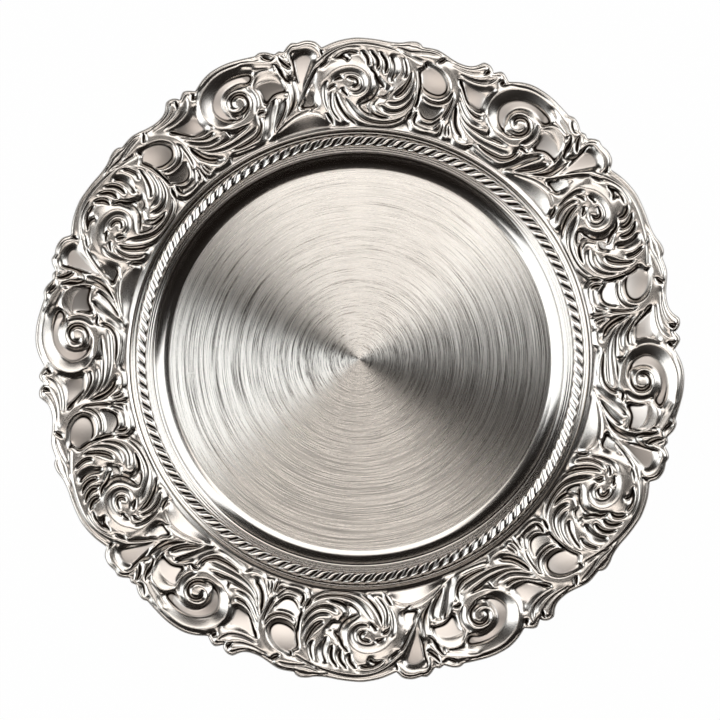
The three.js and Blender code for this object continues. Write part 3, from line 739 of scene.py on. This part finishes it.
def stretch(level):
    """A smooth sheet through the drawn cells, relaxed from a coarse grid to a fine one."""
    drawn = ~np.isnan(level)
    grids = [(np.where(drawn, level, 0.0), drawn)]
    while grids[-1][0].shape[0] > COARSEST_ROWS and grids[-1][0].shape[1] % 2 == 0:
        value, held = grids[-1]
        rows, columns = value.shape[0] // 2, value.shape[1] // 2
        blocks = (rows, 2, columns, 2)
        weight = held[:2 * rows].reshape(blocks).sum((1, 3))
        total = (value * held)[:2 * rows].reshape(blocks).sum((1, 3))
        grids.append((total / np.maximum(weight, 1), weight > 0))
    value, held = grids[-1]
    sheet = np.where(held, value, value[held].mean())
    for value, held in reversed(grids):
        if sheet.shape != value.shape:
            sheet = sheet.repeat(2, 0).repeat(2, 1)
            sheet = np.pad(sheet, ((0, value.shape[0] - sheet.shape[0]), (0, 0)), mode="edge")
        for _ in range(RELAX_SWEEPS):
            tall = np.pad(sheet, ((1, 1), (0, 0)), mode="edge")
            beside = np.roll(sheet, 1, 1) + np.roll(sheet, -1, 1)
            sheet = np.where(held, value, (tall[2:] + tall[:-2] + beside) / 4)
    return sheet


def soften(sheet, width):
    """The sheet blurred by that many millimetres."""
    reach = int(3 * width / CELL) + 1
    weights = np.exp(-0.5 * (np.arange(-reach, reach + 1) * CELL / width) ** 2)
    weights /= weights.sum()
    tall = np.pad(sheet, ((reach, reach), (0, 0)), mode="edge")
    tall = sum(weight * tall[i:i + len(sheet)] for i, weight in enumerate(weights))
    return sum(weight * np.roll(tall, i - reach, 1) for i, weight in enumerate(weights))


def look_up(sheet, column, row):
    """Values of a sheet between its cells."""
    row = np.clip(row, 0, ROWS - 1.001)
    c0, r0 = np.floor(column).astype(int), np.floor(row).astype(int)
    c, r = column - c0, row - r0
    c0, c1 = c0 % COLUMNS, (c0 + 1) % COLUMNS
    near = sheet[r0, c0] * (1 - c) + sheet[r0, c1] * c
    far = sheet[r0 + 1, c0] * (1 - c) + sheet[r0 + 1, c1] * c
    return near * (1 - r) + far * r


def comb(sheet):
    """The sheet smoothed along its own strands, so that they flow and their ends taper off."""
    for _ in range(COMB_PASSES):
        slope_out = np.gradient(sheet, axis=0)
        slope_along = (np.roll(sheet, -1, 1) - np.roll(sheet, 1, 1)) / 2
        across = soften(slope_along ** 2 - slope_out ** 2, COMB_WIDTH)
        skew = soften(2 * slope_along * slope_out, COMB_WIDTH)
        heading = np.arctan2(skew, across) / 2 + np.pi / 2
        total = sheet.copy()
        for step in COMB_STEPS:
            column = along / CELL + step * np.cos(heading)
            row = out / CELL + step * np.sin(heading)
            total += look_up(sheet, column, row)
        sheet = total / (1 + len(COMB_STEPS))
    return sheet


# Bead along the scalloped edge, and the band along the inner border
EDGE_SEARCH_CELLS = 22
EDGE_BEAD_WIDTH = 1.5
EDGE_BEAD_SEAT = 1.1
EDGE_BEAD_RISE = 0.6
EDGE_BEAD_ROUND = 0.8
EDGE_OUTSIDE = 1.0
EDGE_REACH = 2.8
EDGE_FALL = 0.15
FOOT_WIDTH = 2.6
FOOT_LEVEL = 0.3
FOOT_RISE = 0.8
FOOT_RISE_START = 2.9
FOOT_RISE_RUN = 1.6
FOOT_CREST = 0.6
edge_line = np.vstack([through(run, LINE_STEP) for run in EDGE_RUNS])
edge_line = edge_line[np.argsort(edge_line[:, 0], kind="stable")]
edge_out = np.interp(along[0], edge_line[:, 0], edge_line[:, 1])
from_edge = np.full(along.shape, np.inf)
for shift in range(-EDGE_SEARCH_CELLS, EDGE_SEARCH_CELLS + 1):
    from_edge = np.minimum(from_edge, np.hypot(shift * CELL, np.roll(edge_out, shift) - out))
beyond = out > edge_out
rim_bead = (from_edge < EDGE_BEAD_WIDTH) | beyond
foot_band = out < FOOT_WIDTH
foot_level = FOOT_LEVEL + FOOT_RISE * np.clip((FOOT_RISE_START - out) / FOOT_RISE_RUN, 0, 1)
ratio[rim_bead | foot_band] = 0.0
hollowness[rim_bead | foot_band] = 0.0
floor_level[rim_bead] = EDGE_BEAD_SEAT
floor_level[foot_band] = foot_level[foot_band]
crest_level[foot_band] = FOOT_CREST

# Relief between the drawn lines: domed strands and rounded hollows, combed along the strands
DOME_POWER = 2.2
HOLLOW_POWER = 1.2
FINE_BLUR = 0.2
SWELL_BLUR = 1.1
STRAND_DEPTH = 0.95
DEEPEST = -1.2
CUT_BLUR = 0.7
CUT_FULL = 0.4
CUT_START = 0.14
SATIN_BLUR = 0.5
ratio = stretch(ratio)
floor_level = stretch(floor_level)
crest_level = np.maximum(stretch(crest_level), floor_level)
domed = 1 - (1 - ratio) ** DOME_POWER
hollow = ratio ** HOLLOW_POWER
rise = domed + (hollow - domed) * stretch(hollowness)
relief = floor_level + (crest_level - floor_level) * rise
bead_share = np.clip(from_edge / EDGE_BEAD_WIDTH, 0, 1)
bead = EDGE_BEAD_SEAT + EDGE_BEAD_RISE * np.sin(np.pi * bead_share) ** EDGE_BEAD_ROUND
relief = np.where(beyond, EDGE_OUTSIDE, np.where(from_edge < EDGE_BEAD_WIDTH, bead, relief))
relief -= EDGE_FALL * np.clip(EDGE_REACH - np.where(beyond, 0.0, from_edge), 0, None) ** 2
relief = comb(soften(relief, FINE_BLUR))
swell = soften(relief, SWELL_BLUR)
relief = np.maximum(swell + STRAND_DEPTH * (relief - swell), DEEPEST)
# Painted shade: how far the relief sinks below its own blur, which darkens the colour in its cuts and
# hollows.
cut = np.clip((soften(relief, CUT_BLUR) - relief) / CUT_FULL - CUT_START, 0, 1)
satin = soften(satin.astype(float), SATIN_BLUR)

# One casting: the relief on top, a short wall at the edge and a back that follows the flange
LENGTH_STEPS = 500
WIDTH_STEPS = 160
EDGE_CHAMFER = 0.35
BACK_SHARES = (0.8, 0.6, 0.4, 0.2, 0.0)
drawn_along = DRAWN_SEAM + DRAWN_LENGTH * np.linspace(0, 1, LENGTH_STEPS + 1)
share = np.linspace(0, 1, WIDTH_STEPS + 1)[:, None]
drawn_edge = np.interp(drawn_along, edge_line[:, 0], edge_line[:, 1])
drawn_out = DRAWN_FOOT + share * (drawn_edge - DRAWN_FOOT)
column = np.broadcast_to(drawn_along / CELL, drawn_out.shape)
row = drawn_out / CELL
top_radius = BORDER_RADIUS + (drawn_out - DRAWN_FOOT) * DRAWN_SCALE
top_height = seat(top_radius) + FIELD + look_up(relief, column, row)
edge_radius = top_radius[-1]
back_edge = edge_radius - EDGE_CHAMFER
wall_radius = np.vstack([edge_radius, edge_radius, back_edge])
wall_height = seat(wall_radius) + np.array([[FIELD], [EDGE_CHAMFER], [0.0]])
back_radius = BORDER_RADIUS + np.array(BACK_SHARES)[:, None] * (back_edge - BORDER_RADIUS)
loop_radius = np.vstack([top_radius, wall_radius, back_radius])
loop_height = np.vstack([top_height, wall_height, seat(back_radius)])
plain_rows = np.zeros((len(loop_radius) - len(top_radius), LENGTH_STEPS + 1))
loop_satin = np.vstack([look_up(satin, column, row), plain_rows + 1.0])
loop_cut_shade = np.vstack([look_up(cut, column, row), plain_rows])

# Its faces with the two end caps, and their chart, in which the caps stand beside the rest
CHART_WIDTH = 0.97
CAP_START = 0.98
CAP_WIDTH = 0.008
CAP_PITCH = 0.01
loop_rows, loop_columns = loop_radius.shape
casting_faces, chart = grid_faces(loop_rows, loop_columns, LENGTH_STEPS)
start_cap = np.arange(loop_rows) * loop_columns
casting_faces += [start_cap[::-1].tolist(), (start_cap + LENGTH_STEPS).tolist()]
cap_out = CAP_START + CAP_WIDTH * (loop_height[:, 0] - loop_height.min()) / np.ptp(loop_height)
cap_chart = np.stack([cap_out, np.arange(loop_rows) / loop_rows], -1)
chart = chart.reshape(-1, 2) * [CHART_WIDTH, 1]
casting_chart = np.vstack([chart, cap_chart[::-1], cap_chart + [CAP_PITCH, 0]])

CAST_NICKEL = (0.81, 0.765, 0.72, 1.0)
SATIN_NICKEL = (0.76, 0.70, 0.655, 1.0)
cast_finish, shader, maker, place = new_finish("cast_nickel", Base_Color=NICKEL, Roughness=0.16)
sunk = maker.node("ShaderNodeAttribute", {"attribute_name": "satin"}, output=2)
# Painted shade: the colour darkens to near black where the relief sinks into cuts and hollows.
cut_shade = maker.node("ShaderNodeAttribute", {"attribute_name": "cut"}, output=2)
grain = maker.noise(place, 1400.0, 3.0, 0.6)
bloom = maker.noise(place, 60.0, 3.0, 0.55)
metal = maker.tint(sunk, CAST_NICKEL, SATIN_NICKEL)
feed(shader,
     Base_Color=maker.tint((cut_shade * 2.0).clamped(), metal, CUT_SHADE_DARK),
     Roughness=0.19 + bloom * 0.08 + sunk * 0.08 + cut_shade * 0.2,
     Normal=maker.node("ShaderNodeBump", None, {"Strength": 0.15, "Distance": 0.00002, "Height": grain}))

for number in range(SECTIONS):
    turn = SECTION_START + (number + np.linspace(0, 1, LENGTH_STEPS + 1)) * 2 * np.pi / SECTIONS
    casting_points = np.stack([loop_radius * np.cos(turn), loop_radius * np.sin(turn), loop_height], -1)
    casting = lay_mesh("casting_%d" % (number + 1), casting_points.reshape(-1, 3), casting_faces,
                       casting_chart, [cast_finish], crease=75)
    note_points(casting, "satin", loop_satin)
    note_points(casting, "cut", loop_cut_shade)
    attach(casting, "root")
    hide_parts("border_section_%d" % (number + 1))

# Floor: a plain white sheet that runs out past the view.
# To the camera it glows as white paper, on which the plate's shadow is too faint to see.
# The metal mirrors the sheet as the lamps light it.
FLOOR_SIZE = 30.0
PAPER_WHITE = (0.9, 0.9, 0.9, 1.0)
PAPER_GLOW = 0.985
reach = FLOOR_SIZE / 2
floor_mesh = bpy.data.meshes.new("floor")
floor_mesh.from_pydata([(-reach, -reach, 0), (reach, -reach, 0), (reach, reach, 0), (-reach, reach, 0)],
                       [], [(0, 1, 2, 3)])
floor = add_object("floor", floor_mesh)
paper = bpy.data.materials.new("white_paper")
paper.use_nodes = True
maker = Signal(paper.node_tree)
shader = paper.node_tree.nodes["Principled BSDF"]
shader.inputs["Base Color"].default_value = PAPER_WHITE
shader.inputs["Roughness"].default_value = 0.9
path = maker.node("ShaderNodeLightPath").socket.node
seen = Signal(paper.node_tree, path.outputs["Is Camera Ray"])
glow = maker.node("ShaderNodeEmission", None, {"Strength": 1.0})
sheet = maker.node("ShaderNodeMixShader", None,
                   {0: seen * PAPER_GLOW, 1: Signal(paper.node_tree, shader.outputs[0]), 2: glow})
paper.node_tree.links.new(sheet.socket, paper.node_tree.nodes["Material Output"].inputs["Surface"])
floor_mesh.materials.append(paper)

# Studio light: a broad warm panel behind the plate, a soft cool one at each side, a second one higher
# at the left, a small warm one overhead, and a dim warm room.
# The polished metal shows the panels as its white and the room as its dark.
WARM_WHITE = (1.0, 0.97, 0.935)
AMBER_WHITE = (1.0, 0.94, 0.885)
PALE_WHITE = (0.965, 0.99, 1.0)
COOL_WHITE = (0.95, 0.985, 1.0)
ROOM_DARK = (0.008, 0.0058, 0.0045, 1.0)


def panel(name, azimuth, elevation, distance, width, height, radiance, colour):
    """A soft light that faces the plate from that direction."""
    lamp = bpy.data.lights.new(name, "AREA")
    lamp.shape = "RECTANGLE"
    lamp.size = width
    lamp.size_y = height
    lamp.energy = radiance * math.pi * width * height
    lamp.color = colour
    light = add_object(name, lamp)
    azimuth, elevation = math.radians(azimuth), math.radians(elevation)
    light.location = (distance * math.cos(elevation) * math.cos(azimuth),
                      distance * math.cos(elevation) * math.sin(azimuth),
                      distance * math.sin(elevation))
    light.rotation_euler = (math.pi / 2 - elevation, 0, azimuth + math.pi / 2)
    light.visible_camera = False


panel("panel_back", 86, 62, 1.0, 0.86, 0.56, 1.7, WARM_WHITE)
panel("panel_right", 26, 29, 0.92, 0.78, 0.74, 1.8, PALE_WHITE)
panel("panel_left", 189, 28, 0.92, 0.8, 0.74, 1.75, COOL_WHITE)
panel("panel_left_high", 186, 56, 1.0, 0.48, 0.36, 2.1, COOL_WHITE)
panel("panel_overhead", 259, 78, 1.2, 0.6, 0.3, 1.68, AMBER_WHITE)

room = bpy.data.worlds.new("room")
bpy.context.scene.world = room
room.use_nodes = True
backdrop = room.node_tree.nodes["Background"]
backdrop.inputs["Color"].default_value = ROOM_DARK
backdrop.inputs["Strength"].default_value = 1.0

# Camera: almost straight above, leaning three degrees towards the lower right of the picture.
# Its lens is set so that one pixel of the picture spans MM_PER_PIXEL at the height of the rim.
CAMERA_DISTANCE = 1.28
CAMERA_LEAN = math.radians(3.0)
CAMERA_AZIMUTH = math.radians(300)
CAMERA_AIM = (0.00056, -0.00092, 0.012)
PIXELS_WIDE = 720
MM_PER_PIXEL = 0.5083
SENSOR_WIDTH = 36.0
away = np.array([math.sin(CAMERA_LEAN) * math.cos(CAMERA_AZIMUTH),
                 math.sin(CAMERA_LEAN) * math.sin(CAMERA_AZIMUTH), math.cos(CAMERA_LEAN)])
right = np.cross((0, 1, 0), away)
right /= np.linalg.norm(right)
upward = np.cross(away, right)
lens = bpy.data.cameras.new("camera")
lens.sensor_width = SENSOR_WIDTH
lens.lens = SENSOR_WIDTH * CAMERA_DISTANCE / (PIXELS_WIDE * MM_PER_PIXEL * MM)
camera = add_object("camera", lens)
stand = np.eye(4)
stand[:3] = np.stack([right, upward, away, CAMERA_AIM + away * CAMERA_DISTANCE], -1)
camera.matrix_world = stand.T.tolist()
bpy.context.scene.camera = camera
bpy.context.scene.view_settings.view_transform = "Standard"
